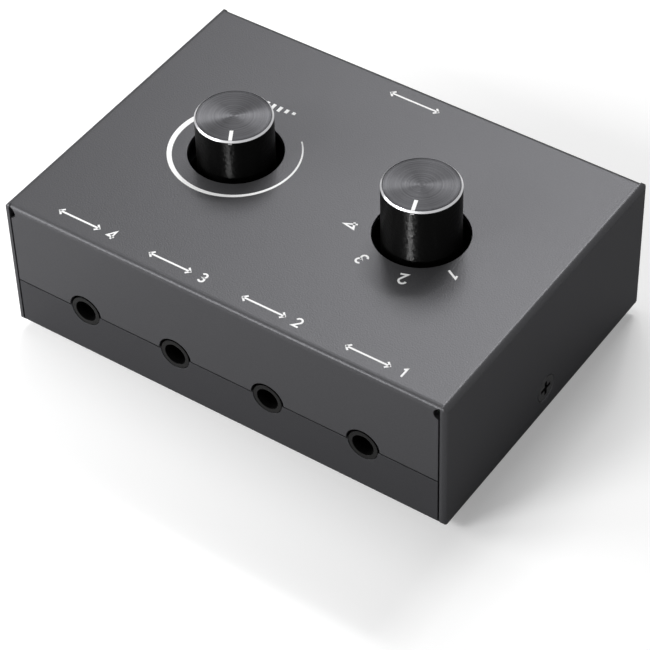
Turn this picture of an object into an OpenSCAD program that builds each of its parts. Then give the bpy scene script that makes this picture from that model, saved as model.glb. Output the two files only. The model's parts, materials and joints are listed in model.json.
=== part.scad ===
// Four-input audio source selector. A folded steel cover closes over a folded steel tray.
// A circuit board on standoffs carries five sockets, a volume control and a rotary switch.
// Millimetres. The origin lies on the table under the middle of the case.
// +X runs to the right along the four-socket side, +Y to the back, +Z up.

/* [Case] */
// Width of the case along the socket row
case_w = 84; // [82:1:110]
// Depth of the case from the socket side to the back
case_d = 60; // [58:1:80]
// Height of the case without its feet
case_h = 26; // [24:0.5:32]
// Thickness of the folded sheet
sheet = 1; // [0.8:0.1:1.2]
// Outer radius of every bend
bend_r = 1.1; // [1.1:0.1:2]
// Height of the seam between cover and tray, on the axis of the sockets
seam_h = 9.7; // [9:0.1:10.6]
// Open line along the seam
seam_gap = 0.3; // [0.1:0.05:0.4]
// Open line between the front and back walls and the end flaps
corner_gap = 0.3; // [0.2:0.1:0.8]
// Radius of the round bend reliefs at the upper corners of the front and back walls
relief_r = 1.05; // [0.9:0.05:1.4]
// Radius at the foot corners of the end flaps
flap_corner_r = 1; // [1:0.1:4]
// Rounding of the outer edges of the end flaps
edge_r = 0.7; // [0.3:0.1:0.9]
// Gap between the end tabs of the tray and the end flaps of the cover
tab_gap = 0.1; // [0.05:0.05:0.3]
// Length of an end tab
tab_l = 26; // [16:1:30]
// Height of an end tab above the case bottom
tab_h = 8.6; // [8.2:0.1:9.6]
// Width of the relief slots beside an end tab
tab_slot_w = 1; // [0.6:0.1:2]

/* [Case fasteners] */
// Height of the end screws above the case bottom
screw_h = 4.8; // [4.5:0.1:5.2]
// Thread size of the end screws and the board screws
screw_d = 3; // [2.5:0.1:3.2]
// Head width of the countersunk end screws
screw_head_d = 4.7; // [4.6:0.1:5.6]
// Open ring round the head of an end screw
screw_rim = 0.2; // [0.05:0.05:0.3]
// How far an end screw's head lies under the surface
screw_sink = 0.08; // [0.02:0.02:0.2]
// Outer width of the clinch nuts behind the end tabs
nut_d = 6; // [5:0.1:6.4]
// Length of the clinch nuts
nut_l = 2.5; // [1.5:0.1:3]
// Head width of the pan-head board screws
pan_d = 5.4; // [4.6:0.1:5.6]
// Head height of the board screws
pan_h = 1.9; // [1.4:0.1:2.4]
// Width across the flats of the board standoffs
standoff_af = 5.5; // [5:0.1:6]
// Width of a cross recess
recess_w = 0.7; // [0.5:0.05:0.8]
// Depth of a cross recess
recess_depth = 0.7; // [0.4:0.05:0.8]
// Length of a cross recess as a share of the head's width
recess_share = 0.6; // [0.5:0.05:0.7]
// How far an end screw's tip passes its nut
screw_past = 0.25; // [0.1:0.05:0.5]
// Share of a standoff's height that its screw fills
thread_share = 0.75; // [0.5:0.05:0.9]
// Wall round the thread where a standoff is pressed into the floor
spigot_wall = 0.5; // [0.3:0.05:0.8]

/* [Feet] */
// Height of the stick-on feet
foot_h = 2; // [1:0.1:4]
// Width of a foot
foot_d = 8; // [6:0.5:12]
// Distance of a foot's centre from the case edges
foot_inset = 8.5; // [7:0.5:14]
// Bevel round the underside of a foot
foot_bevel = 0.5; // [0.2:0.1:0.8]

/* [Sockets] */
// Distance between neighbouring sockets
jack_pitch = 18; // [14:0.5:20]
// Outer width of a socket's round nose
jack_nose_d = 5.4; // [4.6:0.1:5.8]
// Bore for the 3.5 mm plug
jack_bore_d = 3.6; // [3.5:0.05:3.9]
// Widening of the bore at its mouth, which the nose tapers out
jack_mouth = 0.2; // [0.1:0.05:0.4]
// Gap between the nose and its half hole in the tray
jack_panel_gap = 0.1; // [0.1:0.05:0.5]
// Gap between the nose and its half hole in the cover
jack_cover_gap = 0.45; // [0.2:0.05:0.6]
// How far the nose lies behind the outer face of the case
jack_sink = 0.05; // [0:0.05:0.4]
// Gap between a socket housing and the inner face of the wall
jack_seat = 0.1; // [0.05:0.05:0.3]
// Width of a socket housing
jack_w = 7; // [6.4:0.1:8]
// Length of a socket housing
jack_l = 14.5; // [14:0.1:16]
// Height of a socket housing
jack_h = 5.6; // [5:0.1:6.4]
// Height of the bore's axis above the board
jack_axis_h = 2.6; // [2.3:0.1:2.8]
// Wall behind the blind end of the bore
jack_back = 0.9; // [0.6:0.1:1.2]
// Thickness of the contact strips
strip_t = 0.3; // [0.2:0.05:0.4]
// Width of the contact strips
strip_w = 1.8; // [1.2:0.1:2.2]
// Top of the contact strips above the bore's axis
strip_top = 1.4; // [1:0.1:1.8]
// How far the strips lie under the sides of the housing
strip_sink = 0.1; // [0:0.05:0.2]
// Middle of the first strip behind the front of the housing
strip_first = 4.2; // [3.5:0.1:4.5]
// Distance between two strips along the housing
strip_step = 4.1; // [3.5:0.1:4.4]
// Width of the solder pins
pin_d = 0.8; // [0.6:0.05:0.9]
// How far the pins reach below the board
pin_reach = 1.6; // [1:0.1:2]

/* [Circuit board] */
// Thickness of the board
board_t = 1.6; // [1.2:0.1:1.8]
// Distance from the board's side edges to the case ends
board_side = 6; // [5.5:0.1:7]
// Gap between the board's front and back edges and the walls
board_gap = 0.6; // [0.3:0.1:1]
// Distance of the screw holes from the board's side edges
hole_inset_x = 3.2; // [3:0.1:4]
// Distance of the screw holes behind the socket housings
hole_inset_y = 3.6; // [3.4:0.1:5]
// Gap round a pin in its hole
pin_clear = 0.12; // [0.08:0.02:0.2]

/* [Knobs] */
// Width of a knob
knob_d = 13; // [12:0.2:14.2]
// Height of a knob
knob_h = 15; // [14:0.2:17]
// Distance between the two knobs
knob_pitch = 36; // [32:0.5:40]
// Knob axes behind the middle of the case
knob_y = 0.5; // [-1:0.5:1.5]
// Width of the holes in the cover under the knobs
knob_hole_d = 16; // [15:0.2:18]
// Top of the volume knob above the cover
volume_rise = 7.6; // [7:0.1:9]
// Top of the selector knob above the cover
selector_rise = 10.3; // [9:0.1:11.5]
// Cut bevel round the top of a knob
knob_bevel = 0.4; // [0.3:0.05:0.8]
// Wall of the turned shell
knob_wall = 1; // [0.8:0.1:1.3]
// Thickness of the shell's top
knob_top = 1.2; // [1:0.1:1.6]
// Open space under the plastic core
knob_recess = 3; // [2.4:0.1:4]
// Shaft length inside the core
knob_grip = 9.6; // [8:0.1:9.8]
// Width of the pointer line
pointer_w = 0.6; // [0.4:0.05:1]
// Inner end of the pointer line from the knob axis
pointer_r = 3.7; // [2:0.1:5]
// Depth of the pointer inlay
pointer_depth = 0.6; // [0.55:0.05:0.8]
// Direction of the volume pointer, from +X
volume_angle = -60; // [-220:1:40]
// Direction of the selector pointer at its first position, from +X
selector_first = -30; // [-40:1:-20]
// Turn between two selector positions
selector_step = 40; // [30:1:40]
// Selector position shown
selector_at = 2; // [1:1:4]

/* [Volume control] */
// Width of the volume control
pot_w = 10; // [9.6:0.1:11]
// Depth of the volume control
pot_d = 12; // [11.6:0.1:13]
// Height of the volume control under its bushing
pot_h = 7.2; // [6.6:0.1:8]
// Outer width of the bushing
pot_bushing_d = 7; // [6.8:0.1:8]
// Height of the bushing
pot_bushing_h = 4; // [3:0.1:5]
// Thickness of base and top plate
pot_plate = 1; // [0.8:0.1:1.2]
// Width of the round room inside
pot_room_d = 9.2; // [8.8:0.1:9.2]
// Distance between two terminals in a row
pot_pin_pitch = 2.5; // [2:0.1:2.6]
// Distance of the terminal rows from the control's edge
pot_pin_inset = 0.9; // [0.8:0.05:1]
// Opening angle of the resistance track
pot_track_gap = 60; // [40:1:60]
// Width of the resistance track
track_w = 1.2; // [0.8:0.1:1.4]
// Distance of the track from the wall of the room
track_edge = 0.3; // [0.2:0.05:0.4]
// Thickness of the track
track_t = 0.1; // [0.05:0.05:0.2]
// Width of a wiper arm
wiper_w = 0.6; // [0.4:0.05:0.8]
// Angle of a wiper arm to the pointer's direction
wiper_spread = 12; // [8:1:12]
// Thickness of a wiper arm
wiper_t = 0.3; // [0.2:0.05:0.4]
// Height of the rotor
pot_rotor_h = 1.5; // [1.2:0.1:2]

/* [Rotary switch] */
// Width of the rotary switch
switch_w = 17; // [16.4:0.1:18]
// Height of the rotary switch under its bushing
switch_h = 8.6; // [8.2:0.1:9.4]
// Outer width of the bushing
switch_bushing_d = 9; // [8.4:0.1:9.6]
// Height of the bushing
switch_bushing_h = 5; // [4:0.1:6]
// Thickness of base and top plate
switch_plate = 1.2; // [1:0.1:1.4]
// Width of the round room inside
switch_room_d = 14.4; // [14.2:0.1:15]
// Radius of the detent notches
notch_r = 1; // [0.7:0.1:1.2]
// Radius of the circle of fixed contacts
contact_ring_r = 5.5; // [5.4:0.1:5.7]
// Width of a fixed contact
contact_d = 1.4; // [1:0.1:1.6]
// Thickness of the fixed contacts
contact_t = 0.2; // [0.1:0.05:0.3]
// Distance of the common arcs from the shaft
common_gap = 0.6; // [0.4:0.05:0.8]
// Angle by which a common arc passes its end contacts
common_past = 10; // [5:1:15]
// Width of a moving bridge contact
bridge_w = 1; // [0.6:0.1:1.4]
// Thickness of a moving bridge contact
bridge_t = 0.3; // [0.2:0.05:0.4]
// Height of the rotor
switch_rotor_h = 2.6; // [2.4:0.1:3]
// Width of the detent ball
ball_d = 1.6; // [1.4:0.1:1.8]
// Gap round the ball in its pocket
ball_clear = 0.08; // [0.04:0.02:0.12]
// Wall between the ball's pocket and the shaft
pocket_wall = 0.35; // [0.3:0.05:0.5]
// Wire thickness of the detent spring
spring_wire = 0.24; // [0.15:0.01:0.28]
// Turns of the detent spring
spring_turns = 4; // [3:1:5]

/* [Shafts and fits] */
// Width of both shafts
shaft_d = 6; // [5.6:0.1:6.2]
// Depth of the flat on a shaft
shaft_flat = 1.5; // [1:0.1:1.8]
// Radial clearance of a shaft running in its bushing
run_clear = 0.05; // [0.02:0.01:0.1]
// Radial clearance of parts pushed together
fit_clear = 0.02; // [0.01:0.01:0.04]
// Gap between sliding contacts
slide_gap = 0.1; // [0.05:0.05:0.2]
// Radial gap between turning and fixed parts inside the controls
turn_gap = 0.4; // [0.3:0.05:0.5]
// Thickness of the retaining clips
clip_t = 0.5; // [0.4:0.05:0.7]
// Depth of the groove that holds a clip
clip_groove = 0.5; // [0.3:0.05:0.7]
// Width of a clip round the shaft
clip_ring = 1; // [0.8:0.1:1.2]
// Width of a clip's mouth
clip_mouth = 3.6; // [3:0.1:4]

/* [Hidden] */
$fn = 64;
cut = 1;
jack_count = 4;
case_z = foot_h;
floor_z = case_z + sheet;
seam_z = case_z + seam_h;
cover_z = case_z + case_h;
board_top = seam_z - jack_axis_h;
board_z = board_top - board_t;
board_w = case_w - 2 * board_side;
board_d = case_d - 2 * (sheet + board_gap);
hole_x = board_w / 2 - hole_inset_x;
hole_y = case_d / 2 - sheet - jack_seat - jack_l - hole_inset_y;
bend_least = 0.05;
bend_in = max(bend_r - sheet, bend_least);
relief_z = case_h - sheet - relief_r / 2;
flap_in = case_w / 2 - sheet;
wall_end = flap_in - corner_gap;
tab_out = flap_in - tab_gap;
tab_in = tab_out - sheet;
tab_root = tab_out - bend_r - sheet;
tray_hole_r = jack_nose_d / 2 + jack_panel_gap;
cover_hole_r = jack_nose_d / 2 + jack_cover_gap;
volume_x = -knob_pitch / 2;
selector_x = knob_pitch / 2;
volume_knob_z = cover_z + volume_rise - knob_h;
selector_knob_z = cover_z + selector_rise - knob_h;
selector_angle = selector_first - selector_step * (selector_at - 1);
knob_in = knob_d / 2 - knob_wall;
shaft_r = shaft_d / 2;
groove_r = shaft_r - clip_groove;
shaft_end = knob_recess + knob_grip;
strip_x = jack_w / 2 - strip_t - strip_sink;
pin_y = pot_d / 2 - pot_pin_inset;
track_out = pot_room_d / 2 - track_edge;
track_in = track_out - track_w;
pot_rotor_z = pot_plate + track_t + slide_gap + wiper_t;
pot_rotor_r = pot_room_d / 2 - turn_gap;
bridge_z = switch_plate + contact_t + slide_gap;
switch_rotor_z = bridge_z + bridge_t;
switch_rotor_r = switch_room_d / 2 - turn_gap;
detent_z = switch_rotor_z + switch_rotor_h / 2;
ball_r = ball_d / 2;
ball_at = switch_rotor_r - ball_r;
pocket_r = ball_r + ball_clear;
pocket_in = shaft_r + pocket_wall;
common_r = shaft_r + common_gap;
spigot_r = screw_d / 2 + spigot_wall;
poles = [90, 270];
case_paint = [0.36, 0.36, 0.37];
black_paint = [0.05, 0.05, 0.05];
dark_plastic = [0.08, 0.08, 0.09];
steel = [0.7, 0.7, 0.72];
brass = [0.78, 0.62, 0.3];
board_green = [0.1, 0.3, 0.16];
phenolic = [0.5, 0.33, 0.18];
white = [0.95, 0.95, 0.95];
rubber = [0.1, 0.1, 0.1];

// Where socket n stands: 1 is the rightmost, 0 is the single one at the back
function jack_x(n) = n == 0 ? 0 : ((jack_count + 1) / 2 - n) * jack_pitch;

module at_jack(n) {
    side = n == 0 ? 1 : -1;
    translate([jack_x(n), side * case_d / 2, seam_z])
        rotate([0, 0, n == 0 ? 180 : 0])
            children();
}

module at_volume(turn) {
    translate([volume_x, knob_y, board_top])
        rotate([0, 0, turn])
            children();
}

module at_selector(turn) {
    translate([selector_x, knob_y, board_top])
        rotate([0, 0, turn])
            children();
}

module at_board_holes() {
    for (sx = [-1, 1], sy = [-1, 1])
        translate([sx * hole_x, sy * hole_y, 0])
            children();
}

module at_ends() {
    for (turn = [0, 180])
        rotate([0, 0, turn])
            children();
}

// A rectangle standing on the X line with its two upper corners rounded
module arch(w, h, r) {
    translate([-w / 2, 0])
        square([w, h - r]);
    translate([r - w / 2, 0])
        square([w - 2 * r, h]);
    for (s = [-1, 1])
        translate([s * (w / 2 - r), h - r])
            circle(r);
}

// A rectangle with its four corners rounded
module rounded(w, d, r) {
    square([w - 2 * r, d], center = true);
    square([w, d - 2 * r], center = true);
    for (sx = [-1, 1], sy = [-1, 1])
        translate([sx * (w / 2 - r), sy * (d / 2 - r)])
            circle(r);
}

// A block whose four upper edges are rounded alike
module hood(w, d, h, r) {
    intersection() {
        rotate([90, 0, 0])
            linear_extrude(d, center = true)
                arch(w, h, r);
        rotate([90, 0, 90])
            linear_extrude(w, center = true)
                arch(d, h, r);
    }
}

// A channel of bent sheet, open at the top and at both ends; its walls stand w apart
module channel(w, l, h) {
    translate([0, 0, h])
        rotate([-90, 0, 0])
            linear_extrude(l, center = true)
                difference() {
                    arch(w, h, bend_r);
                    translate([0, -cut])
                        arch(w - 2 * sheet, h - sheet + cut, bend_in);
                }
}

// A round disc with one flat, the section of both shafts
module d_section(r, flat) {
    intersection() {
        circle(r);
        translate([-r, -r])
            square([2 * r - flat, 2 * r]);
    }
}

module cross_recess(head_d) {
    for (turn = [0, 90])
        rotate([0, 0, turn])
            translate([-head_d * recess_share / 2, -recess_w / 2, -recess_depth])
                cube([head_d * recess_share, recess_w, recess_depth + cut]);
}

module screw_holes() {
    at_ends()
        translate([case_w / 2, 0, screw_h])
            rotate([0, 90, 0])
                union() {
                    translate([0, 0, -sheet])
                        cylinder(h = sheet + cut, r1 = screw_head_d / 2 + screw_rim - sheet,
                            r2 = screw_head_d / 2 + screw_rim + cut);
                    translate([0, 0, -sheet - cut])
                        cylinder(h = sheet + cut, r = screw_d / 2 + tab_gap);
                }
}

module socket_holes(z, r) {
    for (n = [1:jack_count])
        translate([jack_x(n), -case_d / 2, z])
            rotate([90, 0, 0])
                cylinder(h = 4 * sheet, r = r, center = true);
    translate([jack_x(0), case_d / 2, z])
        rotate([90, 0, 0])
            cylinder(h = 4 * sheet, r = r, center = true);
}

// What is cut from the cover's four lower flap corners
module flap_corner() {
    rotate([90, 0, 90])
        linear_extrude(case_w + 2 * cut, center = true)
            for (s = [0, 1])
                mirror([s, 0])
                    translate([-case_d / 2, 0])
                        difference() {
                            translate([-cut, -cut])
                                square(flap_corner_r + cut);
                            translate([flap_corner_r, flap_corner_r])
                                circle(flap_corner_r);
                        }
}

// The outside of the cover: the end bends run through to rolled edges, the other two stop at the end flaps
module cover_block() {
    intersection() {
        rotate([90, 0, 0])
            linear_extrude(case_d, center = true)
                arch(case_w, case_h, bend_r);
        linear_extrude(case_h)
            rounded(case_w, case_d, edge_r);
        union() {
            rotate([90, 0, 90])
                linear_extrude(case_w, center = true)
                    arch(case_d, case_h, bend_r);
            at_ends()
                translate([flap_in, 0, 0])
                    rotate([90, 0, 90])
                        linear_extrude(sheet)
                            arch(case_d, case_h, edge_r);
        }
    }
}

// The open line between a wall and an end flap, with the round bend relief at its upper end
module corner_cut() {
    translate([flap_in - corner_gap / 2, case_d / 2, relief_z])
        rotate([90, 0, 0])
            linear_extrude(3 * sheet, center = true) {
                translate([-corner_gap / 2, -relief_z])
                    square([corner_gap, relief_z]);
                intersection() {
                    circle(relief_r);
                    translate([corner_gap / 2 - 2 * relief_r, -relief_r])
                        square(2 * relief_r);
                }
            }
}

// The cover: top, full-height end flaps and half-height front and back flaps
module top_cover() {
    color(case_paint)
        translate([0, 0, case_z])
            difference() {
                cover_block();
                translate([0, 0, -cut])
                    hood(case_w - 2 * sheet, case_d - 2 * sheet, case_h - sheet + cut, bend_in);
                translate([-flap_in, -case_d / 2 - cut, -cut])
                    cube([2 * flap_in, case_d + 2 * cut, seam_h + seam_gap / 2 + cut]);
                for (mx = [0, 1], my = [0, 1])
                    mirror([mx, 0, 0])
                        mirror([0, my, 0])
                            corner_cut();
                flap_corner();
                socket_holes(seam_h, cover_hole_r);
                screw_holes();
                for (x = [volume_x, selector_x])
                    translate([x, knob_y, case_h])
                        cylinder(h = 4 * sheet, d = knob_hole_d, center = true);
            }
}

// The tray: floor, front and back walls, and an end tab for each screw
module bottom_tray() {
    color(case_paint)
        translate([0, 0, case_z])
            difference() {
                union() {
                    difference() {
                        rotate([0, 0, 90])
                            channel(case_d, 2 * wall_end, seam_h - seam_gap / 2);
                        at_ends()
                            translate([tab_root, -tab_l / 2 - tab_slot_w, -cut])
                                cube([2 * bend_r + 2 * sheet, tab_l + 2 * tab_slot_w, sheet + 2 * cut]);
                    }
                    channel(2 * tab_out, tab_l, tab_h);
                }
                socket_holes(seam_h, tray_hole_r);
                at_ends()
                    translate([tab_out, 0, screw_h])
                        rotate([0, 90, 0])
                            cylinder(h = 4 * sheet, r = screw_d / 2 + fit_clear, center = true);
                at_board_holes()
                    cylinder(h = 4 * sheet, r = spigot_r, center = true);
            }
}

module cover_screws() {
    tip = tab_in - nut_l - screw_past;
    head = case_w / 2 - screw_sink;
    neck = head - (screw_head_d - screw_d) / 2;
    color(black_paint)
        at_ends()
            translate([0, 0, case_z + screw_h])
                rotate([0, 90, 0])
                    difference() {
                        union() {
                            translate([0, 0, neck])
                                cylinder(h = head - neck, d1 = screw_d, d2 = screw_head_d);
                            translate([0, 0, tip])
                                cylinder(h = neck - tip, d = screw_d);
                        }
                        translate([0, 0, head])
                            cross_recess(screw_head_d);
                    }
}

module cover_nuts() {
    color(steel)
        at_ends()
            translate([tab_in - nut_l, 0, case_z + screw_h])
                rotate([0, 90, 0])
                    difference() {
                        cylinder(h = nut_l, d = nut_d);
                        translate([0, 0, -cut])
                            cylinder(h = nut_l + 2 * cut, r = screw_d / 2 + fit_clear);
                    }
}

module rubber_feet() {
    color(rubber)
        for (sx = [-1, 1], sy = [-1, 1])
            translate([sx * (case_w / 2 - foot_inset), sy * (case_d / 2 - foot_inset), 0])
                rotate_extrude()
                    polygon([
                        [0, 0],
                        [foot_d / 2 - foot_bevel, 0],
                        [foot_d / 2, foot_bevel],
                        [foot_d / 2, foot_h],
                        [0, foot_h]
                    ]);
}

// Hexagonal posts whose spigots are pressed into the floor
module board_standoffs() {
    color(brass)
        at_board_holes()
            difference() {
                union() {
                    translate([0, 0, floor_z])
                        cylinder(h = board_z - floor_z, r = standoff_af / sqrt(3), $fn = 6);
                    translate([0, 0, case_z])
                        cylinder(h = 2 * sheet, r = spigot_r - fit_clear);
                }
                translate([0, 0, floor_z])
                    cylinder(h = board_z - floor_z + cut, r = screw_d / 2 + fit_clear);
            }
}

module board_screws() {
    thread = board_t + (board_z - floor_z) * thread_share;
    color(steel)
        at_board_holes()
            translate([0, 0, board_top])
                difference() {
                    union() {
                        translate([0, 0, -thread])
                            cylinder(h = thread, d = screw_d);
                        intersection() {
                            cylinder(h = pan_h, d = pan_d);
                            translate([0, 0, pan_h - pan_d])
                                sphere(pan_d);
                        }
                    }
                    translate([0, 0, pan_h])
                        cross_recess(pan_d);
                }
}

module pin_hole() {
    cylinder(h = 4 * board_t, r = pin_d / 2 + pin_clear, center = true);
}

module at_strips() {
    for (k = [0:2])
        mirror([k == 1 ? 1 : 0, 0, 0])
            translate([strip_x, sheet + jack_seat + strip_first + k * strip_step, 0])
                children();
}

module at_pot_pins() {
    for (row = [-1, 1], k = [-1:1])
        translate([k * pot_pin_pitch, row * pin_y, 0])
            children();
}

module at_switch_contacts() {
    for (pole = poles, k = [0:3])
        rotate([0, 0, selector_first - k * selector_step + pole])
            translate([contact_ring_r, 0, 0])
                children();
}

// The common contact of a pole lies under the middle of its four positions
module at_switch_commons() {
    for (pole = poles)
        rotate([0, 0, selector_first - 1.5 * selector_step + pole])
            children();
}

module circuit_board() {
    color(board_green)
        difference() {
            translate([-board_w / 2, -board_d / 2, board_z])
                cube([board_w, board_d, board_t]);
            translate([0, 0, board_top])
                at_board_holes()
                    cylinder(h = 4 * board_t, r = screw_d / 2 + pin_clear, center = true);
            for (n = [0:jack_count])
                at_jack(n)
                    translate([0, 0, -jack_axis_h])
                        at_strips()
                            translate([strip_t / 2, 0, 0])
                                pin_hole();
            at_volume(0)
                at_pot_pins()
                    pin_hole();
            at_selector(0) {
                at_switch_contacts()
                    pin_hole();
                at_switch_commons()
                    translate([common_r + pin_d / 2, 0, 0])
                        pin_hole();
            }
        }
}

// A socket: a moulded body with a round nose that fills the hole in the wall, and a lead-in through the nose
module jack_housing(n) {
    body_y = sheet + jack_seat;
    lead_l = body_y - jack_sink;
    bore_l = lead_l + jack_l - jack_back;
    color(dark_plastic)
        at_jack(n)
            difference() {
                union() {
                    translate([-jack_w / 2, body_y, -jack_axis_h])
                        cube([jack_w, jack_l, jack_h]);
                    translate([0, jack_sink, 0])
                        rotate([-90, 0, 0])
                            cylinder(h = lead_l + jack_seat, d = jack_nose_d);
                }
                translate([0, jack_sink, 0])
                    rotate([-90, 0, 0])
                        union() {
                            translate([0, 0, -cut])
                                cylinder(h = bore_l + cut, d = jack_bore_d);
                            translate([0, 0, -cut])
                                cylinder(h = cut + lead_l, r2 = jack_bore_d / 2,
                                    r1 = jack_bore_d / 2 + jack_mouth * (cut + lead_l) / lead_l);
                        }
                at_strips()
                    translate([0, -strip_w / 2 - fit_clear, -jack_axis_h - cut])
                        cube([strip_t + jack_w, strip_w + 2 * fit_clear, jack_axis_h + strip_top + cut]);
            }
}

// Three strips seated in the sides of a housing, each with a pin through the board
module jack_contacts(n) {
    color(brass)
        at_jack(n)
            at_strips() {
                translate([0, -strip_w / 2, -jack_axis_h])
                    cube([strip_t, strip_w, jack_axis_h + strip_top - fit_clear]);
                translate([0, -pin_d / 2, -jack_axis_h - board_t - pin_reach])
                    cube([strip_t, pin_d, board_t + pin_reach + cut]);
            }
}

module volume_pot_base() {
    color(phenolic)
        at_volume(0)
            difference() {
                translate([-pot_w / 2, -pot_d / 2, 0])
                    cube([pot_w, pot_d, pot_plate]);
                at_pot_pins()
                    translate([0, 0, -cut])
                        cylinder(h = pot_plate + 2 * cut, r = pin_d / 2 + fit_clear);
            }
}

module volume_pot_terminals() {
    color(brass)
        at_volume(0)
            at_pot_pins()
                translate([0, 0, -board_t - pin_reach])
                    cylinder(h = board_t + pin_reach + pot_plate, d = pin_d);
}

module volume_pot_track() {
    color(dark_plastic)
        at_volume(0)
            rotate([0, 0, pot_track_gap / 2 + 90])
                translate([0, 0, pot_plate])
                    rotate_extrude(angle = 360 - pot_track_gap)
                        translate([track_in, 0])
                            square([track_out - track_in, track_t]);
}

module volume_pot_case() {
    color(dark_plastic)
        at_volume(0)
            difference() {
                translate([-pot_w / 2, -pot_d / 2, pot_plate])
                    cube([pot_w, pot_d, pot_h - 2 * pot_plate]);
                cylinder(h = pot_h, d = pot_room_d);
            }
}

module volume_pot_bushing() {
    color(steel)
        at_volume(0)
            difference() {
                union() {
                    translate([-pot_w / 2, -pot_d / 2, pot_h - pot_plate])
                        cube([pot_w, pot_d, pot_plate]);
                    translate([0, 0, pot_h - pot_plate])
                        cylinder(h = pot_plate + pot_bushing_h, d = pot_bushing_d);
                }
                cylinder(h = pot_h + pot_bushing_h + cut, r = shaft_r + run_clear);
            }
}

// The two spring arms that slide on the track
module volume_wiper() {
    color(brass)
        at_volume(volume_angle)
            translate([0, 0, pot_rotor_z - wiper_t])
                for (s = [-1, 1])
                    rotate([0, 0, s * wiper_spread])
                        translate([track_in, -wiper_w / 2, 0])
                            cube([pot_rotor_r - track_in - wiper_w / 4, wiper_w, wiper_t]);
}

module volume_rotor() {
    color(white)
        at_volume(volume_angle)
            translate([0, 0, pot_rotor_z])
                linear_extrude(pot_rotor_h)
                    difference() {
                        circle(pot_rotor_r);
                        d_section(shaft_r + fit_clear, shaft_flat);
                    }
}

// A shaft: a D-shaped bar with a collar under its bushing and a groove for the clip above it
module control_shaft(foot, collar_z, collar_top, clip_z, top, collar_r) {
    difference() {
        union() {
            translate([0, 0, foot])
                linear_extrude(collar_z - foot)
                    d_section(shaft_r, shaft_flat);
            translate([0, 0, collar_z])
                cylinder(h = collar_top - collar_z, r = collar_r);
            translate([0, 0, collar_top])
                cylinder(h = clip_z + clip_t + 2 * fit_clear + clip_groove - collar_top, r = shaft_r);
            translate([0, 0, clip_z])
                linear_extrude(top - clip_z)
                    d_section(shaft_r, shaft_flat);
        }
        translate([0, 0, clip_z - fit_clear])
            difference() {
                cylinder(h = clip_t + 2 * fit_clear, r = shaft_r + cut);
                translate([0, 0, -cut])
                    cylinder(h = clip_t + 2 * cut + 2 * fit_clear, r = groove_r);
            }
    }
}

module shaft_clip(clip_z) {
    translate([0, 0, clip_z])
        linear_extrude(clip_t)
            difference() {
                circle(shaft_r + clip_ring);
                circle(groove_r + fit_clear);
                translate([0, -clip_mouth / 2])
                    square([shaft_r + clip_ring + cut, clip_mouth]);
            }
}

module volume_shaft() {
    color(steel)
        at_volume(volume_angle)
            control_shaft(pot_rotor_z, pot_rotor_z + pot_rotor_h, pot_h - pot_plate - slide_gap,
                pot_h + pot_bushing_h + slide_gap, volume_knob_z - board_top + shaft_end, pot_rotor_r);
}

module volume_clip() {
    color(steel)
        at_volume(volume_angle)
            shaft_clip(pot_h + pot_bushing_h + slide_gap);
}

module switch_base() {
    color(phenolic)
        at_selector(0)
            difference() {
                translate([-switch_w / 2, -switch_w / 2, 0])
                    cube([switch_w, switch_w, switch_plate]);
                at_switch_contacts()
                    translate([0, 0, -cut])
                        cylinder(h = switch_plate + 2 * cut, r = pin_d / 2 + fit_clear);
                at_switch_commons()
                    translate([common_r + pin_d / 2, 0, -cut])
                        cylinder(h = switch_plate + 2 * cut, r = pin_d / 2 + fit_clear);
            }
}

// Four fixed contacts and one common arc for each of the two channels
module switch_contacts() {
    sweep = 3 * selector_step + 2 * common_past;
    color(brass)
        at_selector(0) {
            at_switch_contacts() {
                translate([0, 0, switch_plate])
                    cylinder(h = contact_t, d = contact_d);
                translate([0, 0, -board_t - pin_reach])
                    cylinder(h = board_t + pin_reach + switch_plate, d = pin_d);
            }
            at_switch_commons() {
                rotate([0, 0, -sweep / 2])
                    translate([0, 0, switch_plate])
                        rotate_extrude(angle = sweep)
                            translate([common_r, 0])
                                square([pin_d, contact_t]);
                translate([common_r + pin_d / 2, 0, -board_t - pin_reach])
                    cylinder(h = board_t + pin_reach + switch_plate, d = pin_d);
            }
        }
}

// The switch housing; its room has one notch in the wall for every position
module switch_case() {
    color(dark_plastic)
        at_selector(0)
            difference() {
                translate([-switch_w / 2, -switch_w / 2, switch_plate])
                    cube([switch_w, switch_w, switch_h - 2 * switch_plate]);
                cylinder(h = switch_h, d = switch_room_d);
                for (k = [0:3])
                    rotate([0, 0, selector_first - k * selector_step])
                        translate([switch_room_d / 2, 0, 0])
                            cylinder(h = switch_h, r = notch_r);
            }
}

module switch_bushing() {
    color(steel)
        at_selector(0)
            difference() {
                union() {
                    translate([-switch_w / 2, -switch_w / 2, switch_h - switch_plate])
                        cube([switch_w, switch_w, switch_plate]);
                    translate([0, 0, switch_h - switch_plate])
                        cylinder(h = switch_plate + switch_bushing_h, d = switch_bushing_d);
                }
                cylinder(h = switch_h + switch_bushing_h + cut, r = shaft_r + run_clear);
            }
}

// One moving contact for each channel, from the common arc to a fixed contact
module selector_bridge() {
    color(brass)
        at_selector(selector_angle)
            for (pole = poles)
                rotate([0, 0, pole])
                    translate([common_r, -bridge_w / 2, bridge_z])
                        cube([contact_ring_r - common_r, bridge_w, bridge_t]);
}

module selector_rotor() {
    color(white)
        at_selector(selector_angle)
            difference() {
                translate([0, 0, switch_rotor_z])
                    linear_extrude(switch_rotor_h)
                        difference() {
                            circle(switch_rotor_r);
                            d_section(shaft_r + fit_clear, shaft_flat);
                        }
                translate([pocket_in, 0, detent_z])
                    rotate([0, 90, 0])
                        cylinder(h = switch_rotor_r, r = pocket_r);
            }
}

module selector_ball() {
    color(steel)
        at_selector(selector_angle)
            translate([ball_at, 0, detent_z])
                sphere(ball_r);
}

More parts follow.
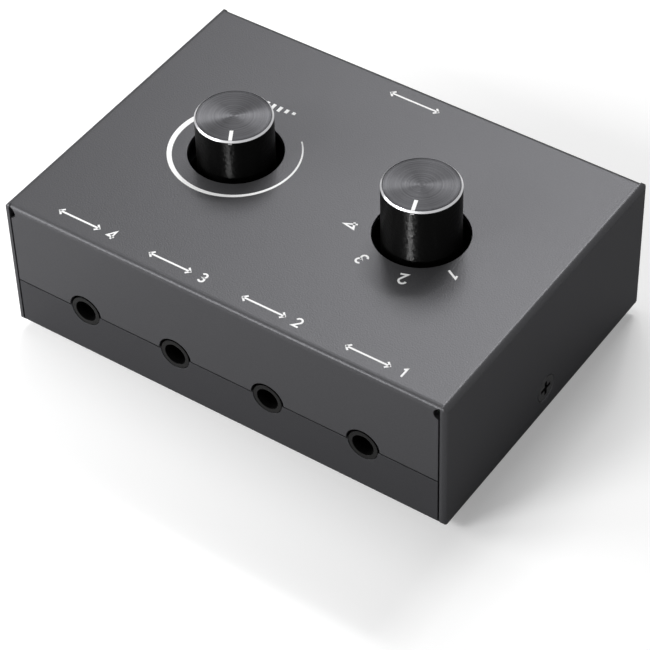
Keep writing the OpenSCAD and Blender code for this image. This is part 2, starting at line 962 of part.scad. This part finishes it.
// A round wire swept along a helix
module coil(r, wire, length, turns) {
    rings = 8 * turns;
    sides = 6;
    pts = [
        for (i = [0:rings], k = [0:sides - 1])
            let (a = 360 * turns * i / rings, b = 360 * k / sides, q = r + wire * cos(b))
                [q * cos(a), q * sin(a), wire + (length - 2 * wire) * i / rings + wire * sin(b)]
    ];
    skin = [
        for (i = [0:rings - 1], k = [0:sides - 1])
            let (m = (k + 1) % sides)
                [i * sides + k, (i + 1) * sides + k, (i + 1) * sides + m, i * sides + m]
    ];
    ends = [[for (k = [0:sides - 1]) k], [for (k = [0:sides - 1]) (rings + 1) * sides - 1 - k]];
    polyhedron(pts, concat(skin, ends));
}

// The spring that presses the ball outwards
module selector_spring() {
    coil_r = ball_r - spring_wire;
    rise = sqrt(ball_r * ball_r - coil_r * coil_r);
    color(steel)
        at_selector(selector_angle)
            translate([pocket_in, 0, detent_z])
                rotate([0, 90, 0])
                    coil(coil_r, spring_wire / 2, ball_at - rise - spring_wire / 2 - pocket_in, spring_turns);
}

module selector_shaft() {
    color(steel)
        at_selector(selector_angle)
            control_shaft(switch_rotor_z, switch_rotor_z + switch_rotor_h, switch_h - switch_plate - slide_gap,
                switch_h + switch_bushing_h + slide_gap, selector_knob_z - board_top + shaft_end,
                switch_bushing_d / 2);
}

module selector_clip() {
    color(steel)
        at_selector(selector_angle)
            shaft_clip(switch_h + switch_bushing_h + slide_gap);
}

// The outside of a knob: a straight cylinder with a cut bevel round its top
module knob_form() {
    cylinder(h = knob_h - knob_bevel, d = knob_d);
    translate([0, 0, knob_h - knob_bevel])
        cylinder(h = knob_bevel, d1 = knob_d, d2 = knob_d - 2 * knob_bevel);
}

module pointer_block(gap) {
    translate([pointer_r - gap, -pointer_w / 2 - gap, knob_h - pointer_depth - gap])
        cube([knob_d, pointer_w + 2 * gap, knob_h]);
}

module knob_shell() {
    color(black_paint)
        difference() {
            knob_form();
            translate([0, 0, -cut])
                cylinder(h = knob_h - knob_top + cut, r = knob_in);
            pointer_block(fit_clear);
        }
}

module knob_core() {
    color(dark_plastic)
        difference() {
            translate([0, 0, knob_recess])
                cylinder(h = knob_h - knob_top - knob_recess, r = knob_in - fit_clear);
            translate([0, 0, knob_recess - cut])
                linear_extrude(knob_grip + cut + fit_clear)
                    d_section(shaft_r + fit_clear, shaft_flat);
        }
}

module knob_pointer() {
    color(white)
        intersection() {
            knob_form();
            pointer_block(0);
        }
}

module on_volume() {
    at_volume(volume_angle)
        translate([0, 0, volume_knob_z - board_top])
            children();
}

module on_selector() {
    at_selector(selector_angle)
        translate([0, 0, selector_knob_z - board_top])
            children();
}

top_cover();
bottom_tray();
cover_screws();
cover_nuts();
rubber_feet();
board_standoffs();
board_screws();
circuit_board();
for (n = [1:jack_count]) {
    jack_housing(n);
    jack_contacts(n);
}
jack_housing(0);  // jack_housing_main
jack_contacts(0);  // jack_contacts_main
volume_pot_case();
volume_pot_bushing();
volume_pot_base();
volume_pot_track();
volume_pot_terminals();
volume_wiper();
volume_rotor();
volume_shaft();
volume_clip();
on_volume() knob_core();  // volume_knob_core
on_volume() knob_shell();  // volume_knob_shell
on_volume() knob_pointer();  // volume_pointer
switch_case();
switch_bushing();
switch_base();
switch_contacts();
selector_bridge();
selector_rotor();
selector_ball();
selector_spring();
selector_shaft();
selector_clip();
on_selector() knob_core();  // selector_knob_core
on_selector() knob_shell();  // selector_knob_shell
on_selector() knob_pointer();  // selector_pointer
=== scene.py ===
import json
import math

import bpy
import numpy as np
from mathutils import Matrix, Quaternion, Vector


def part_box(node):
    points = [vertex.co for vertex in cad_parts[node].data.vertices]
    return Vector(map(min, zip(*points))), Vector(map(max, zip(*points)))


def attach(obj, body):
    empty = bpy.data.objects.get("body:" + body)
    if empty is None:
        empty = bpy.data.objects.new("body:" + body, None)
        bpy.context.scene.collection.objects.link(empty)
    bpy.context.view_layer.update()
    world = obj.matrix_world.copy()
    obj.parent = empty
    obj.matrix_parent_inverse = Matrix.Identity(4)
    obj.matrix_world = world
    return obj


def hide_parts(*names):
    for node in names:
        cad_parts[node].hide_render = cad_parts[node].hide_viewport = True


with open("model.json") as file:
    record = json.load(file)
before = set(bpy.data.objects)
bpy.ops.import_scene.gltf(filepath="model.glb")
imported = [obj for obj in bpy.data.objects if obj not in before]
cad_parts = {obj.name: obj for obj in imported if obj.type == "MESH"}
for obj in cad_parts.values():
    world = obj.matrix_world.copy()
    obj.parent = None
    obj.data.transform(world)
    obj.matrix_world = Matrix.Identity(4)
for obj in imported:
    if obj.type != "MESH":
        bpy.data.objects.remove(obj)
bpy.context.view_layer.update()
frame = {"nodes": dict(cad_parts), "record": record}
nodes = frame["nodes"]
mm = 0.001
print("frame:", len(nodes), "pieces from CAD")


# sRGB hex to the linear colour that Blender's sockets take
def linear(hexText):
    s = np.array([int(hexText[i:i + 2], 16) for i in (1, 3, 5)]) / 255
    c = np.where(s <= 0.04045, s / 12.92, ((s + 0.055) / 1.055) ** 2.4)
    return (*c.tolist(), 1.0)


# one node with its settings, its values and its links
def addNode(tree, kind, inputs=None, **settings):
    node = tree.nodes.new("ShaderNode" + kind)
    for key, value in settings.items():
        setattr(node, key, value)
    for key, value in (inputs or {}).items():
        if isinstance(value, bpy.types.NodeSocket):
            tree.links.new(value, node.inputs[key])
        else:
            node.inputs[key].default_value = value
    return node


# an empty finish: the principled shader takes the constant values, patterns are linked afterwards
def newFinish(name, values):
    material = bpy.data.materials.new(name)
    material.use_nodes = True
    tree = material.node_tree
    shader = tree.nodes["Principled BSDF"]
    for key, value in values.items():
        shader.inputs[key].default_value = linear(value) if isinstance(value, str) else value
    return material, tree, shader


# a finish from one noise of a real grain size: it gives the colour between two tones, the roughness and the bump, and
# where the look has an edge, the bevel node rounds that much of each corner
def grained(name, look):
    material, tree, shader = newFinish(name, look.get("shader", {}))
    place = addNode(tree, "TexCoord").outputs["Object"]
    grain = addNode(tree, "TexNoise", {"Vector": place, "Scale": 1 / (look["grain"] * mm), "Detail": 3.0})
    tone = addNode(tree, "Mix", {0: grain.outputs[0], 6: linear(look["tones"][0]), 7: linear(look["tones"][1])},
                   data_type="RGBA")
    rough = addNode(tree, "MapRange", {"Value": grain.outputs[0], "From Min": 0.3, "From Max": 0.7,
                                       "To Min": look["rough"][0], "To Max": look["rough"][1]})
    bump = addNode(tree, "Bump", {"Height": grain.outputs[0], "Distance": look["depth"] * mm, "Strength": 1.0})
    if "edge" in look:
        edge = addNode(tree, "Bevel", {"Radius": look["edge"] * mm}, samples=look.get("edgeSamples", 4))
        tree.links.new(edge.outputs[0], bump.inputs["Normal"])
    tree.links.new(tone.outputs[2], shader.inputs["Base Color"])
    tree.links.new(rough.outputs[0], shader.inputs["Roughness"])
    tree.links.new(bump.outputs[0], shader.inputs["Normal"])
    return material


# Powder-coated steel, charcoal with fine aluminium flake, baked to a satin grain: a broad soft sheen shows where the
# light stands, the grain sparkles a little and swallows the gloss at flat angles, and the coat rounds every edge.
# The tray's coat is painted a shade darker than the cover's: painted shade for the lower front wall, which sits nearer
# the shadowed floor.
powderLook = {"shader": {"Metallic": 0.4, "Specular IOR Level": 0.0, "Specular Tint": "#bcbcbc"}, "grain": 0.28,
              "depth": 0.024, "rough": (0.28, 0.36), "edge": 0.12, "edgeSamples": 6}
coverLook = {**powderLook, "tones": ("#49494b", "#535355")}
trayPaintedShadeLook = {**powderLook, "tones": ("#3f3f41", "#48484a")}

# Black-oxide steel: nearly black, the porous oxide holds oil and leaves only a dull gleam
screwLook = {"shader": {"Specular IOR Level": 0.12}, "tones": ("#101011", "#1b1b1c"), "grain": 0.2, "depth": 0.004,
             "rough": (0.4, 0.55), "edge": 0.06}

# Zinc plate on turned steel, passivated: grey and clouded, with a dull gleam
zincLook = {"shader": {"Metallic": 1.0}, "tones": ("#7e8185", "#989b9f"), "grain": 0.5, "depth": 0.003,
            "rough": (0.38, 0.5)}

# Rolled and stamped brass: warm metal with faint tarnish clouds
brassLook = {"shader": {"Metallic": 1.0}, "tones": ("#b08d4a", "#cda964"), "grain": 1.2, "depth": 0.002,
             "rough": (0.24, 0.4)}

# Moulded rubber: dull black that takes dust
rubberLook = {"shader": {"Specular IOR Level": 0.3}, "tones": ("#161616", "#242424"), "grain": 0.4, "depth": 0.03,
              "rough": (0.75, 0.92)}

# Glass-epoxy board under green solder mask: copper lanes show through a little lighter
boardLook = {"mask": "#1d4a2c", "lane": "#2f6b42", "pitch": 1.27, "rough": 0.32}


def solderMask():
    material, tree, shader = newFinish("solderMaskBoard", {"Roughness": boardLook["rough"]})
    place = addNode(tree, "TexCoord").outputs["Object"]
    lanes = addNode(tree, "TexBrick", {"Vector": place, "Scale": 1 / (boardLook["pitch"] * 8 * mm),
                                       "Color1": linear(boardLook["lane"]), "Color2": linear(boardLook["lane"]),
                                       "Mortar": linear(boardLook["mask"]), "Mortar Size": 0.05,
                                       "Brick Width": 2.6, "Row Height": 0.125})
    bump = addNode(tree, "Bump", {"Height": lanes.outputs["Fac"], "Distance": 0.02 * mm, "Strength": 0.4},
                   invert=True)
    tree.links.new(lanes.outputs["Color"], shader.inputs["Base Color"])
    tree.links.new(bump.outputs[0], shader.inputs["Normal"])
    return material


# Moulded plastics: the tool's fine spark-eroded grain breaks the gloss
plasticLooks = {
    "mouldedPbt": {"shader": {"Specular IOR Level": 0.12}, "tones": ("#030303", "#050505"), "grain": 0.16,
                   "depth": 0.003, "rough": (0.26, 0.36), "edge": 0.14},
    "mouldedPhenolic": {"tones": ("#161618", "#202023"), "grain": 0.2, "depth": 0.006, "rough": (0.45, 0.6)},
    "paperPhenolic": {"tones": ("#6f4a2a", "#8a6038"), "grain": 0.5, "depth": 0.006, "rough": (0.5, 0.65)},
    "carbonInk": {"tones": ("#121212", "#1e1e1f"), "grain": 0.12, "depth": 0.004, "rough": (0.55, 0.75)},
    "naturalNylon": {"tones": ("#dcdad2", "#ece9e1"), "grain": 0.6, "depth": 0.004, "rough": (0.4, 0.55)},
    "mouldedAbs": {"tones": ("#121213", "#1b1b1c"), "grain": 0.2, "depth": 0.005, "rough": (0.42, 0.58)},
    "whiteEnamelFill": {"tones": ("#e9e9e8", "#f6f6f5"), "grain": 0.25, "depth": 0.004, "rough": (0.35, 0.5)},
    "screenInk": {"tones": ("#eeeeee", "#fbfbfb"), "grain": 0.2, "depth": 0.003, "rough": (0.5, 0.65)},
}


def moulded(name):
    return grained(name, {"edge": 0.05, **plasticLooks[name]})


# rings left by the turning tool: noise squeezed along the profile and drawn out round the axis, with the shader's
# tangent along the map so that the highlight stretches across them
def toolRings(tree, shader, look, cells):
    place = addNode(tree, "UVMap", uv_map="turned")
    rings = addNode(tree, "Mapping", {"Vector": place.outputs[0], "Scale": (*cells, 1)})
    noise = addNode(tree, "TexNoise", {"Vector": rings.outputs[0], "Scale": 1.0, "Detail": look["detail"]})
    bump = addNode(tree, "Bump", {"Height": noise.outputs[0], "Distance": look["depth"] * mm,
                                  "Strength": look["strength"]})
    along = addNode(tree, "Tangent", direction_type="UV_MAP", uv_map="turned")
    tree.links.new(bump.outputs[0], shader.inputs["Normal"])
    tree.links.new(along.outputs[0], shader.inputs["Tangent"])
    return noise


# Black anodised aluminium, turned: the tool's rings run round it, so light is drawn into long upright streaks.
# The rings are too fine to show at their real 0.05 mm, so they are drawn at 0.6 mm.
sideLook = {"shader": {"Base Color": "#010101", "Roughness": 0.3, "Anisotropic": 0.92, "Specular IOR Level": 0.06},
            "ring": 0.6, "run": 0.8, "detail": 2.0, "depth": 0.1, "strength": 0.6}


def turnedAnodised(lengths):
    material, tree, shader = newFinish("turnedAnodisedAluminium", sideLook["shader"])
    toolRings(tree, shader, sideLook, (lengths[0] / sideLook["ring"], lengths[1] / sideLook["run"]))
    return material


# Grey anodised aluminium with a lathe-spun face: the rings pull each lamp into a bow tie through the middle, and the
# uneven feed leaves them lighter and darker. The finest are drawn coarser than real, at 0.3 mm.
spunLook = {"shader": {"Metallic": 1.0, "Roughness": 0.33, "Anisotropic": 0.96}, "tones": ("#1d1d1f", "#424244"),
            "ring": 0.3, "detail": 2.0, "depth": 0.004, "strength": 0.5}


def spunFace(lengths):
    material, tree, shader = newFinish("spunAnodisedAluminium", spunLook["shader"])
    noise = toolRings(tree, shader, spunLook, (lengths[0] / spunLook["ring"], 0))
    tone = addNode(tree, "Mix", {0: noise.outputs[0], 6: linear(spunLook["tones"][0]),
                                 7: linear(spunLook["tones"][1])}, data_type="RGBA")
    tree.links.new(tone.outputs[2], shader.inputs["Base Color"])
    return material


# Aluminium cut with a diamond after anodising: bare, mirror-bright, with faint tool rings
cutLook = {"shader": {"Base Color": "#b8b8ba", "Metallic": 1.0, "Roughness": 0.28, "Anisotropic": 0.4},
           "ring": 0.12, "cellsRound": 4.0, "detail": 1.0, "depth": 0.002, "strength": 0.4}


def diamondCut(lengths):
    material, tree, shader = newFinish("diamondCutAluminium", cutLook["shader"])
    toolRings(tree, shader, cutLook, (lengths[0] / cutLook["ring"], cutLook["cellsRound"]))
    return material


# each CAD piece takes the finish of its slot in the record
finishes = {
    "case_paint": grained("powderCoatedSteel", coverLook), "black_screw": grained("blackOxideSteel", screwLook),
    "plated_steel": grained("zincPlatedSteel", zincLook), "brass": grained("stampedBrass", brassLook),
    "rubber": grained("mouldedRubber", rubberLook), "board": solderMask(), "socket_plastic": moulded("mouldedPbt"),
    "control_plastic": moulded("mouldedPhenolic"), "base_plastic": moulded("paperPhenolic"),
    "carbon_track": moulded("carbonInk"), "nylon": moulded("naturalNylon"), "core_plastic": moulded("mouldedAbs"),
    "pointer_white": moulded("whiteEnamelFill"),
}
for part in frame["record"]["subparts"]:
    if part["material_slot"] in finishes:
        surface = nodes[part["node"]].data
        surface.materials.clear()
        surface.materials.append(finishes[part["material_slot"]])
# the tray takes the darker coat, painted shade for its lower wall
nodes["bottom_tray"].data.materials[0] = grained("powderCoatedTrayPaintedShade", trayPaintedShadeLook)
print("finishes:", len(finishes), "on the CAD pieces")


# a mesh object from whole arrays, with its faces smooth up to a given angle
def meshPiece(name, points, faces, sharpAngle=30):
    mesh = bpy.data.meshes.new(name)
    mesh.from_pydata(points.tolist(), [], faces)
    mesh.polygons.foreach_set("use_smooth", np.ones(len(mesh.polygons), bool))
    mesh.set_sharp_from_angle(angle=math.radians(sharpAngle))
    mesh.update()
    piece = bpy.data.objects.new(name, mesh)
    bpy.context.scene.collection.objects.link(piece)
    return piece


# Turned piece: each profile point (r, z) is swung about the axis, x = r cos t and y = r sin t. The profile starts
# and ends on the axis. The map's u runs along the profile and v round the axis.
def turnedPiece(name, profile, zones, axis, steps):
    r, z = profile.T
    t = np.arange(steps) * 2 * np.pi / steps
    ringR, ringZ = r[1:-1, None], z[1:-1, None]
    rings = np.stack([ringR * np.cos(t), ringR * np.sin(t), ringZ + 0 * t], -1)
    points = np.concatenate([[[0, 0, z[0]]], rings.reshape(-1, 3), [[0, 0, z[-1]]]])
    points = (points + [*axis, 0]) * mm
    index = 1 + np.arange(rings.shape[0] * steps).reshape(-1, steps)
    beside = np.roll(index, -1, axis=1)
    quads = np.stack([index[:-1], index[1:], beside[1:], beside[:-1]], -1)
    first = np.stack([0 * index[0], index[0], beside[0]], -1)
    last = np.stack([index[-1], 0 * index[-1] + len(points) - 1, beside[-1]], -1)
    faces = first.tolist() + quads.reshape(-1, 4).tolist() + last.tolist()
    piece = meshPiece(name, points, faces, 25)
    length = np.concatenate([[0], np.cumsum(np.hypot(np.diff(r), np.diff(z)))])
    u = length / length[-1]
    v = np.arange(steps + 1) / steps
    uFirst = np.stack([0 * t, u[1] + 0 * t, u[1] + 0 * t], -1)
    vFirst = np.stack([(v[:-1] + v[1:]) / 2, v[:-1], v[1:]], -1)
    uLow, uHigh = np.repeat(u[1:-2], steps), np.repeat(u[2:-1], steps)
    vLow, vHigh = np.tile(v[:-1], len(u) - 3), np.tile(v[1:], len(u) - 3)
    uQuad = np.stack([uLow, uHigh, uHigh, uLow], -1)
    vQuad = np.stack([vLow, vLow, vHigh, vHigh], -1)
    uLast = np.stack([u[-2] + 0 * t, 1 + 0 * t, u[-2] + 0 * t], -1)
    vLast = np.stack([v[:-1], (v[:-1] + v[1:]) / 2, v[1:]], -1)
    uAll = np.concatenate([uFirst.ravel(), uQuad.ravel(), uLast.ravel()])
    vAll = np.concatenate([vFirst.ravel(), vQuad.ravel(), vLast.ravel()])
    uvLayer = piece.data.uv_layers.new(name="turned")
    uvLayer.data.foreach_set("uv", np.stack([uAll, vAll], -1).ravel().astype(np.float32))
    piece.data.polygons.foreach_set("material_index", np.repeat(zones, steps))
    return piece


# Knob shell, lengths in mm: spun face with rings left by the tool, a fine groove, cut bevel, plain side, broken lower
# edge and the bore for the core. It stays a little inside the CAD solid that it stands for.
knobLook = {"inside": 0.01, "ringPitch": 0.5, "ringDepth": 0.01, "groove": (0.3, 0.06), "bevel": 0.27,
            "bevelFoot": 0.05, "wall": 1.0, "crown": 1.2, "brokenEdge": 0.2, "facePoints": 110, "bevelPoints": 6,
            "sidePoints": 8, "steps": 192}


# The profile runs from the middle of the face to the middle of the bore. The face's height is the top less half a
# ring depth times one minus the cosine of the radius over the pitch, and the rings fade out towards the middle.
def knobShell(node, body):
    low, high = (np.array(v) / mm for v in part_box(node))
    axis = (low + high)[:2] / 2
    top, foot, outer = high[2] - knobLook["inside"], low[2], (high - low)[0] / 2 - knobLook["inside"]
    face, drop = outer - knobLook["bevel"], knobLook["bevel"]
    width, depth = knobLook["groove"]
    pitch, count = knobLook["ringPitch"], knobLook["bevelPoints"]
    r = np.linspace(0, face - width, knobLook["facePoints"])
    ring = 0.5 - 0.5 * np.cos(2 * np.pi * r / pitch)
    faceLine = np.stack([r, top - knobLook["ringDepth"] * ring * np.clip(r / pitch, 0, 1)], -1)
    faceLine = np.concatenate([faceLine, [(face - width / 2, top - depth)]])
    bevel = np.stack([np.linspace(face, outer, count), top - np.linspace(0, drop, count)], -1)
    e, inner = knobLook["brokenEdge"], outer - knobLook["wall"]
    sideZ = np.linspace(top - drop - knobLook["bevelFoot"], foot + e, knobLook["sidePoints"])
    side = np.stack([0 * sideZ + outer, sideZ], -1)
    under = [(outer - e, foot), (inner + e, foot), (inner, foot + e), (inner, top - knobLook["crown"]),
             (0, top - knobLook["crown"])]
    profile = np.concatenate([faceLine, bevel, side, under])
    zones = np.zeros(len(profile) - 1, int)
    zones[len(faceLine):len(faceLine) + len(bevel) - 1] = 1
    zones[len(faceLine) + len(bevel) - 1:] = 2
    piece = turnedPiece(node + "_turned", profile, zones, axis, knobLook["steps"])
    lengths = (np.hypot(*np.diff(profile, axis=0).T).sum(), 2 * np.pi * outer)
    for surface in (spunFace(lengths), diamondCut(lengths), turnedAnodised(lengths)):
        piece.data.materials.append(surface)
    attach(piece, body)
    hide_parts(node)
    return piece


knobs = [knobShell("volume_knob_shell", "volume_control"), knobShell("selector_knob_shell", "source_selector")]
print("knobs: two turned shells")


# Ink strokes: a flat band carried along each path, its edges half a width to either side with mitred corners, and
# closed with the thickness of the ink, all in mm.
inkLook = {"thick": 0.03, "sunk": 0.006, "mitreLimit": 0.4}


def inkStrokes(name, strokes, centre, turn):
    a = math.radians(turn)
    spin = np.array([[math.cos(a), -math.sin(a)], [math.sin(a), math.cos(a)]])
    points, faces, start = [], [], 0
    for path, width in strokes:
        path = np.asarray(path, float)
        step = np.diff(path, axis=0)
        step /= np.linalg.norm(step, axis=1)[:, None]
        before, after = np.vstack([step[:1], step]), np.vstack([step, step[-1:]])
        middle = before + after
        middle /= np.linalg.norm(middle, axis=1)[:, None]
        reach = np.broadcast_to(width, len(path)) / 2 / np.maximum((middle * after).sum(1), inkLook["mitreLimit"])
        offset = np.stack([-middle[:, 1], middle[:, 0]], -1) * reach[:, None]
        edges = np.stack([path + offset, path - offset, path - offset, path + offset], 1) @ spin.T + centre
        lift = np.broadcast_to([inkLook["thick"], inkLook["thick"], 0, 0], edges.shape[:2])[..., None]
        lift = lift + coverTop - inkLook["sunk"]
        points.append(np.concatenate([edges, lift], -1).reshape(-1, 3))
        k = start + 4 * np.arange(len(path) - 1)[:, None]
        for near, far in ((0, 1), (1, 2), (2, 3), (3, 0)):
            faces += (k + [near, far, far + 4, near + 4]).tolist()
        end = start + 4 * len(path) - 4
        faces += [[start, start + 3, start + 2, start + 1], [end, end + 1, end + 2, end + 3]]
        start += 4 * len(path)
    piece = meshPiece(name, np.concatenate(points) * mm, faces)
    piece.data.materials.append(inkFinish)
    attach(piece, "case")


# points on a circle from one angle to another
def arc(x, y, radius, start, stop, count=16):
    t = np.radians(np.linspace(start, stop, count))
    return np.stack([x + radius * np.cos(t), y + radius * np.sin(t)], -1)


# plain numerals in a box 0.6 wide and 1 high
numerals = {
    1: [[(0.14, 0.8), (0.38, 0.98), (0.38, 0)]],
    2: [np.concatenate([arc(0.3, 0.7, 0.28, 165, -38), [(0.04, 0.02), (0.6, 0.02)]])],
    3: [np.concatenate([arc(0.29, 0.74, 0.24, 155, -90), arc(0.29, 0.25, 0.25, 90, -155)[1:]])],
    4: [[(0.7, 0.26), (0.0, 0.26), (0.5, 1.0), (0.5, 0)]],
}


def numeral(number, size, weight, x=0.0):
    return [(np.asarray(path) * size + [x - 0.3 * size, -0.5 * size], weight) for path in numerals[number]]


# arrow with a head at both ends: sound goes either way through that socket
def twoWayArrow(length, head, weight, x=0.0):
    tip = length / 2 - weight
    paths = [[(-tip, 0), (tip, 0)]] + [[(s * (tip - head), head), (s * tip, 0), (s * (tip - head), -head)]
                                       for s in (-1, 1)]
    return [(np.array(path) + [x, 0], weight) for path in paths]


inkFinish = moulded("screenInk")
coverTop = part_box("top_cover")[1].z / mm
volumeAxis, selectorAxis = np.array([-18, 0.5]), np.array([18, 0.5])
selectorPrint = {"radius": 10.95, "shift": -0.4, "size": 2.15, "weight": 0.36, "first": -28.5, "step": -42}
socketPrint = {"y": (-26.7, -26.6, -26.5, -26.4), "shift": (0.4, -0.9, -0.9, -0.9), "size": 1.85, "weight": 0.34,
               "arrow": 8.6, "head": 0.66, "arrowAt": -1.4, "numeralAt": 5.0}
backPrint = {"place": (0, 26.5), "arrow": 10, "arrowAt": 0.2}
volumePrint = {"radius": 10.9, "ends": (45, -225), "widths": (0.22, 1.1), "points": 120,
               "bars": 5, "barReach": 2.6, "barHeights": (0.6, 2.0), "barWidth": 0.6, "barPlace": (-18, 13.6)}

for n in (1, 2, 3, 4):
    angle = selectorPrint["first"] + (n - 1) * selectorPrint["step"]
    outward = np.array([math.cos(math.radians(angle)), math.sin(math.radians(angle))])
    centre = selectorAxis + [selectorPrint["shift"], 0] + selectorPrint["radius"] * outward
    inkStrokes(f"selector_mark_{n}", numeral(n, selectorPrint["size"], selectorPrint["weight"]), centre, angle - 90)
    low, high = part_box(f"jack_housing_{n}")
    place = np.array([(low.x + high.x) / 2 / mm + socketPrint["shift"][n - 1], socketPrint["y"][n - 1]])
    label = twoWayArrow(socketPrint["arrow"], socketPrint["head"], socketPrint["weight"], socketPrint["arrowAt"])
    label += numeral(n, socketPrint["size"], socketPrint["weight"], socketPrint["numeralAt"])
    inkStrokes(f"socket_mark_{n}", label, place, 0)

label = twoWayArrow(backPrint["arrow"], socketPrint["head"], socketPrint["weight"], backPrint["arrowAt"])
inkStrokes("socket_mark_main", label, np.array(backPrint["place"]), 180)
sweep = arc(0, 0, volumePrint["radius"], *volumePrint["ends"], volumePrint["points"])
inkStrokes("volume_sweep", [(sweep, np.linspace(*volumePrint["widths"], volumePrint["points"]))], volumeAxis, 0)
barX = np.linspace(-volumePrint["barReach"], volumePrint["barReach"], volumePrint["bars"])
barHeight = np.linspace(*volumePrint["barHeights"], volumePrint["bars"])
bars = [([(x, 0), (x, h)], volumePrint["barWidth"]) for x, h in zip(barX, barHeight)]
inkStrokes("volume_mark", bars, np.array(volumePrint["barPlace"]), 180)
print("prints: numerals, arrows and the volume sweep")


# 1 for what the camera sees straight, mirrored or through something clear, and 0 for the light on the pieces
def seenDirectly(tree):
    path = addNode(tree, "LightPath")
    seen = addNode(tree, "Math", {0: path.outputs["Is Camera Ray"], 1: path.outputs["Is Glossy Ray"]},
                   operation="MAXIMUM")
    return addNode(tree, "Math", {0: seen.outputs[0], 1: path.outputs["Is Transmission Ray"]}, operation="MAXIMUM")


# Floor: pale board that keeps the shadow; what is seen directly gets enough glow on top to be white, and more far out,
# where the lamps no longer reach. Distances in metres.
stageLook = {"floor": "#e6e6e6", "glow": 0.31, "near": 0.12, "far": 0.4, "fill": 0.05, "size": 3.0}
s = stageLook["size"]
floor = meshPiece("studioFloor", np.array([(-s, -s, 0), (s, -s, 0), (s, s, 0), (-s, s, 0)]), [[0, 1, 2, 3]])
paper, tree, shader = newFinish("paperFloor", {"Base Color": stageLook["floor"], "Roughness": 0.9,
                                               "Specular IOR Level": 0.0, "Emission Color": "#ffffff"})
seen = seenDirectly(tree)
away = addNode(tree, "VectorMath", {0: addNode(tree, "TexCoord").outputs["Object"]}, operation="LENGTH")
ramp = addNode(tree, "MapRange", {"Value": away.outputs["Value"], "From Min": stageLook["near"],
                                  "From Max": stageLook["far"], "To Min": stageLook["glow"], "To Max": 1.0})
glow = addNode(tree, "Math", {0: seen.outputs[0], 1: ramp.outputs[0]}, operation="MULTIPLY")
tree.links.new(glow.outputs[0], shader.inputs["Emission Strength"])
floor.data.materials.append(paper)

world = bpy.data.worlds.new("studioWorld")
bpy.context.scene.world = world
world.use_nodes = True
tree = world.node_tree
seen = seenDirectly(tree)
level = addNode(tree, "MapRange", {"Value": seen.outputs[0], "To Min": stageLook["fill"], "To Max": 1.0})
tree.nodes["Background"].inputs["Color"].default_value = (1, 1, 1, 1)
tree.links.new(level.outputs[0], tree.nodes["Background"].inputs["Strength"])

# Lamps: azimuth from +X, elevation and distance from the middle of the case, size in metres, power in watts. A flag
# keeps a lamp off the knobs or off all but them, and aim moves its target along x, in mm.
lamps = {
    "backSoftbox": {"azimuth": 116.5, "elevation": 45.5, "distance": 0.9, "size": (0.32, 0.3), "watts": 2.25},
    "overheadSoftbox": {"azimuth": 148, "elevation": 71, "distance": 0.85, "size": (0.42, 0.42), "watts": 1.7},
    "edgeStrip": {"azimuth": 98, "elevation": 51, "distance": 0.9, "size": (0.2, 0.06), "watts": 2.2,
                  "flag": "allButKnobs"},
    "frontStrip": {"azimuth": -115, "elevation": 33, "distance": 0.52, "size": (0.16, 0.1), "turn": 19,
                   "watts": 1.05},
    "lowPanel": {"azimuth": -145, "elevation": 14, "distance": 0.24, "size": (0.12, 0.12), "watts": 0.45},
    "accentStrip": {"azimuth": -78, "elevation": 6, "distance": 0.162, "size": (0.012, 0.03), "spread": 42,
                    "aim": 18, "watts": 0.13, "flag": "knobsOnly"},
    "bowStrip": {"azimuth": 147, "elevation": 38, "distance": 0.9, "size": (0.38, 0.12), "watts": 2.35,
                 "flag": "knobsOnly"},
}
middle = Vector((0, 0, 20 * mm))
flags = {name: bpy.data.collections.new(name) for name in ("knobsOnly", "allButKnobs")}
for flag in flags.values():
    for knob in knobs:
        flag.objects.link(knob)
for entry in flags["allButKnobs"].collection_objects:
    entry.light_linking.link_state = "EXCLUDE"
for name, lamp in lamps.items():
    az, el = math.radians(lamp["azimuth"]), math.radians(lamp["elevation"])
    way = Vector((math.cos(az) * math.cos(el), math.sin(az) * math.cos(el), math.sin(el)))
    data = bpy.data.lights.new(name, "AREA")
    data.shape, data.energy = "RECTANGLE", lamp["watts"]
    data.size, data.size_y = lamp["size"]
    light = bpy.data.objects.new(name, data)
    data.spread = math.radians(lamp.get("spread", 180))
    light.location = middle + way * lamp["distance"]
    back = light.location - middle - Vector((lamp.get("aim", 0) * mm, 0, 0))
    roll = Quaternion((0, 0, 1), math.radians(lamp.get("turn", 0)))
    light.rotation_euler = (back.to_track_quat("Z", "Y") @ roll).to_euler()
    bpy.context.scene.collection.objects.link(light)
    if "flag" in lamp:
        light.light_linking.receiver_collection = flags[lamp["flag"]]

# Camera: long lens from the right front, fitted to the edges of the case
cameraLook = {"place": (189.716, -265.950, 323.100), "turn": (45.1454, 1.2975, 34.3424), "lens": 152.08}
camera = bpy.data.objects.new("camera", bpy.data.cameras.new("camera"))
camera.data.lens = cameraLook["lens"]
camera.location = Vector(cameraLook["place"]) * mm
camera.rotation_euler = [math.radians(v) for v in cameraLook["turn"]]
bpy.context.scene.collection.objects.link(camera)
bpy.context.scene.camera = camera
bpy.context.scene.view_settings.view_transform = "Standard"
print("stage:", len(lamps), "lamps and the camera")
